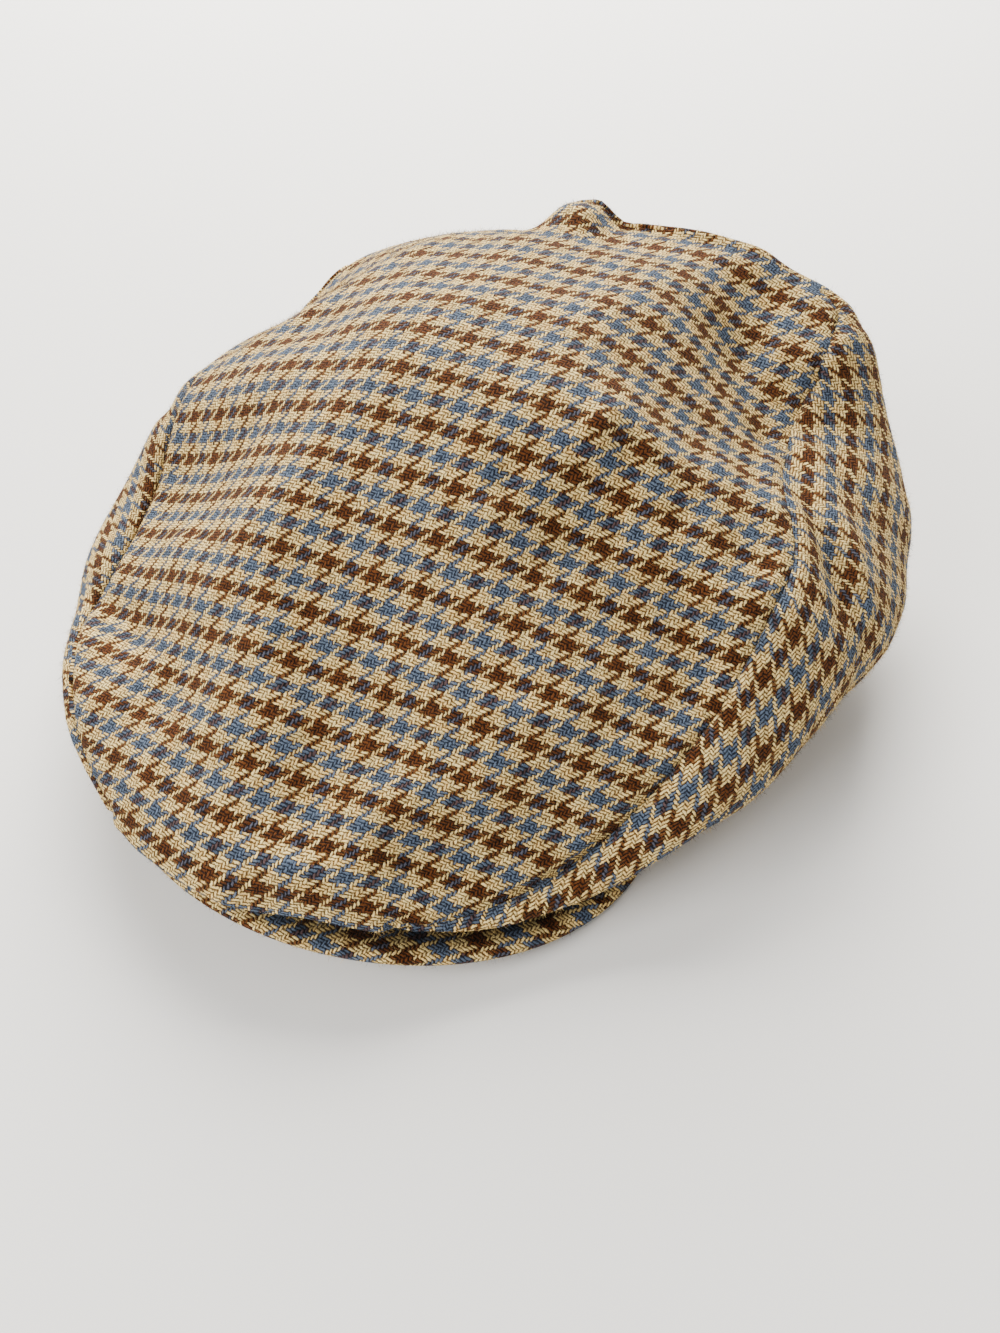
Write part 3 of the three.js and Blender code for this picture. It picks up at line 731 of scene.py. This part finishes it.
# the peak: a grid whose rows run over the top, round the front edge and back underneath
def makePeak():
    bm = bmesh.new()
    uv = bm.loops.layers.uv.new("cloth")
    lipShade = bm.verts.layers.float.new("lipShade")
    rows = 2 * peak["topRows"] + peak["edgeRows"]
    bmesh.ops.create_grid(bm, x_segments=peak["steps"], y_segments=rows, size=1)
    half = peak["thickness"] / 2
    grain = Matrix.Rotation(math.radians(peak["clothTurn"]), 2)
    flat = {}
    for v in bm.verts:
        t = v.co.x
        k = round((v.co.y + 1) / 2 * rows)
        bearing = math.radians(peak["tipBearing"] * t)
        front = Vector((peak["x"] + peak["halfWidth"] * math.sin(bearing),
                        peak["ellipseY"] - peak["halfLength"] * math.cos(bearing)))
        back = rimPoint("left" if t < 0 else "right", peak["tipTurn"] * abs(t), peak["underRim"]).xy
        depth = (back - front).length
        inward = (back - front).normalized()
        if k <= peak["topRows"]:
            far, drop = half + (depth - half) * (1 - k / peak["topRows"]), 0
            spread = far
            # painted shade for the slot under the crown's lip, growing behind the front edge
            v[lipShade] = min(max((far - peak["shadeFrom"]) / peak["shadeRun"], 0), 1)
        elif k <= peak["topRows"] + peak["edgeRows"]:
            bend = math.pi * (k - peak["topRows"]) / peak["edgeRows"]
            far, drop = half - half * math.sin(bend), half - half * math.cos(bend)
            spread = half - half * bend
        else:
            share = (k - peak["topRows"] - peak["edgeRows"]) / peak["topRows"]
            far, drop = half + (depth - half) * share, peak["thickness"]
            spread = far
        spot = front + inward * far
        on = front + inward * spread
        flat[v] = grain @ on / cloth["repeat"] + Vector((1, 1)) * peak["clothPhase"]
        v.co = Vector((spot.x, spot.y, peakTop(spot.x, spot.y) - drop))
    for f in bm.faces:
        for loop in f.loops:
            loop[uv].uv = flat[loop.vert]
    border = [e for e in bm.edges if e.is_boundary]
    bmesh.ops.holes_fill(bm, edges=border, sides=0)
    bmesh.ops.remove_doubles(bm, verts=bm.verts, dist=1e-4)
    bmesh.ops.recalc_face_normals(bm, faces=bm.faces)
    for v in bm.verts:
        v.co = toFrame(v.co)
    for f in bm.faces:
        f.smooth = True
    mesh = bpy.data.meshes.new("peak_cover")
    bm.to_mesh(mesh)
    bm.free()
    obj = bpy.data.objects.new("peak_cover", mesh)
    bpy.context.scene.collection.objects.link(obj)
    return obj


fuzz = {
    "perSquareMm": 0.5, "lowest": 2.5,    # none grow under the rim, where the cap rests
    "shortest": 0.7, "longest": 2.4, "width": 0.07, "taper": 0.8,
    "flattest": 15, "steepest": 65, "curl": 0.55,
}


# loose wool ends standing off the cloth, each in the colour of the yarn at its root
def makeFuzz(obj, name, seed):
    dice = np.random.default_rng(seed)
    mesh = obj.data
    mesh.calc_loop_triangles()
    points = np.empty(len(mesh.vertices) * 3)
    mesh.vertices.foreach_get("co", points)
    points = points.reshape(-1, 3) / mm
    spots = np.empty(len(mesh.loops) * 2)
    mesh.uv_layers["cloth"].data.foreach_get("uv", spots)
    spots = spots.reshape(-1, 2)
    corners = np.array([t.vertices[:] for t in mesh.loop_triangles])
    loops = np.array([t.loops[:] for t in mesh.loop_triangles])
    p, q, r = (points[corners[:, k]] for k in range(3))
    normals = np.cross(q - p, r - p)
    areas = np.linalg.norm(normals, axis=1) / 2
    count = int(areas.sum() * fuzz["perSquareMm"])
    pick = dice.choice(len(areas), count, p=areas / areas.sum())
    share = np.sort(dice.random((count, 2)), axis=1)
    share = np.stack([share[:, 0], share[:, 1] - share[:, 0], 1 - share[:, 1]], axis=1)
    root = np.einsum("ij,ijk->ik", share, points[corners[pick]])
    spot = np.einsum("ij,ijk->ik", share, spots[loops[pick]])
    up = normals[pick] / np.linalg.norm(normals[pick], axis=1)[:, None]
    keep = root[:, 2] > fuzz["lowest"]
    root, spot, up = root[keep], spot[keep], up[keep]
    count = len(root)
    lie = np.cross(up, dice.normal(size=(count, 3)))
    lie /= np.linalg.norm(lie, axis=1)[:, None]
    lean = np.radians(dice.uniform(fuzz["flattest"], fuzz["steepest"], count))[:, None]
    length = dice.uniform(fuzz["shortest"], fuzz["longest"], count)[:, None]
    start = lie * np.cos(lean) + up * np.sin(lean)
    curl = dice.normal(scale=fuzz["curl"], size=(count, 3))
    middle = root + start * length / 2
    tip = middle + (start + curl) * length / 2
    edge = np.cross(start, dice.normal(size=(count, 3)))
    edge *= fuzz["width"] / 2 / np.linalg.norm(edge, axis=1)[:, None]
    thin = edge * fuzz["taper"]
    fibre = np.stack([root - edge, root + edge, middle - thin, middle + thin, tip], axis=1)
    first = np.arange(count)[:, None] * 5
    faces = (first + [0, 1, 3, 2]).tolist() + (first + [2, 3, 4]).tolist()
    fibres = bpy.data.meshes.new(name)
    fibres.from_pydata((fibre.reshape(-1, 3) * mm).tolist(), [], faces)
    uv = fibres.uv_layers.new(name="cloth")
    owner = np.array([loop.vertex_index // 5 for loop in fibres.loops])
    uv.data.foreach_set("uv", spot[owner].ravel())
    for f in fibres.polygons:
        f.use_smooth = True
    made = bpy.data.objects.new(name, fibres)
    bpy.context.scene.collection.objects.link(made)
    made.data.materials.append(obj.data.materials[0])
    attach(made, "root")
    print(name, count, "fibres")


skin = makeSkin()
dressSkin(skin)
print("skin shaped:", len(skin.verts), "points")


# a point halfway down the wall
def wallMiddle(side, turn):
    return wallColumn(side, turn, topPoint(hand[side], turn))[hem["wallRows"] // 2 - 1]


panels = {
    "crown_top": dict(
        number=0, name="crown_cloth", front=topPoint(0, 40), back=topPoint(0, 150),
        turn=-1.1, phase=(0.465, 0.839), drags=[],
    ),
    "side_panel_left": dict(
        number=1, name="side_cloth_left", front=wallMiddle("left", 60), back=wallMiddle("left", 140),
        turn=-90, phase=(0.2, 0.3), drags=[],
    ),
    "side_panel_right": dict(
        number=2, name="side_cloth_right", front=wallMiddle("right", 60), back=wallMiddle("right", 140),
        turn=-104, phase=(0.17, 1.11), drags=[
            dict(at=7.4, reach=2.3, by=(0, -0.45)),
            dict(at=8.8, reach=1.5, by=(0.4, 0)),
            dict(at=11.4, reach=1.6, by=(0, 0.45)),
        ],
    ),
}
tweedCloth = tweedMaterial()
for node, p in panels.items():
    obj = panelMesh(skin, p["number"], p["name"])
    layCheck(obj, p["front"], p["back"], p["turn"], p["phase"], p["drags"])
    obj.data.materials.append(tweedCloth)
    thicken(obj)
    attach(obj, "root")
    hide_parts(node)
    makeFuzz(obj, p["name"].replace("cloth", "fuzz"), p["number"] + 1)
skin.free()
peakCover = makePeak()
peakCover.data.materials.append(tweedCloth)
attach(peakCover, "root")
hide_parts("peak")
makeFuzz(peakCover, "peak_fuzz", 4)
print("panels and peak made")

floorSettings = {"size": 6, "colour": (0.82, 0.81, 0.79), "roughness": 0.75}


def makeFloor():
    bm = bmesh.new()
    bmesh.ops.create_grid(bm, x_segments=1, y_segments=1, size=floorSettings["size"] / 2)
    mesh = bpy.data.meshes.new("floor")
    bm.to_mesh(mesh)
    bm.free()
    floor = bpy.data.objects.new("floor", mesh)
    bpy.context.scene.collection.objects.link(floor)
    material = bpy.data.materials.new("paleFloor")
    material.use_nodes = True
    shader = material.node_tree.nodes["Principled BSDF"]
    shader.inputs["Base Color"].default_value = (*floorSettings["colour"], 1)
    shader.inputs["Roughness"].default_value = floorSettings["roughness"]
    mesh.materials.append(material)


lights = [
    dict(name="window", place=(-0.6, 1.2, 0.95), size=1.4, power=118, colour=(1, 0.97, 0.91)),
    dict(name="front", place=(-0.8, -1.2, 1.1), size=1.2, power=46, colour=(1, 0.98, 0.95)),
    dict(name="right", place=(0.9, 0.7, 1.2), size=1.0, power=4, colour=(1, 0.97, 0.93)),
]
studio = {"aim": (0, 0, 0.05), "colour": (1, 1, 0.99), "strength": 0.42}


def makeLights():
    for light in lights:
        data = bpy.data.lights.new(light["name"], "AREA")
        data.size = light["size"]
        data.energy = light["power"]
        data.color = light["colour"]
        lamp = bpy.data.objects.new(light["name"], data)
        lamp.location = light["place"]
        lamp.rotation_euler = (Vector(studio["aim"]) - lamp.location).to_track_quat("-Z", "Y").to_euler()
        bpy.context.scene.collection.objects.link(lamp)
    world = bpy.data.worlds.new("studio")
    world.use_nodes = True
    background = world.node_tree.nodes["Background"]
    background.inputs["Color"].default_value = (*studio["colour"], 1)
    background.inputs["Strength"].default_value = studio["strength"]
    bpy.context.scene.world = world


cameraSettings = {
    "place": (133.08, -199.87, 293.71),
    "tilt": 38.86, "roll": 3.63, "heading": 27.0,
    "lens": 28.816, "sensor": 36, "nearest": 0.01,
}


def makeCamera():
    data = bpy.data.cameras.new("camera")
    data.lens = cameraSettings["lens"]
    data.sensor_width = cameraSettings["sensor"]
    data.clip_start = cameraSettings["nearest"]
    camera = bpy.data.objects.new("camera", data)
    camera.location = toFrame(Vector(cameraSettings["place"]))
    camera.rotation_euler = [math.radians(cameraSettings[k]) for k in ("tilt", "roll", "heading")]
    bpy.context.scene.collection.objects.link(camera)
    bpy.context.scene.camera = camera


makeFloor()
makeLights()
makeCamera()
print("scene ready")
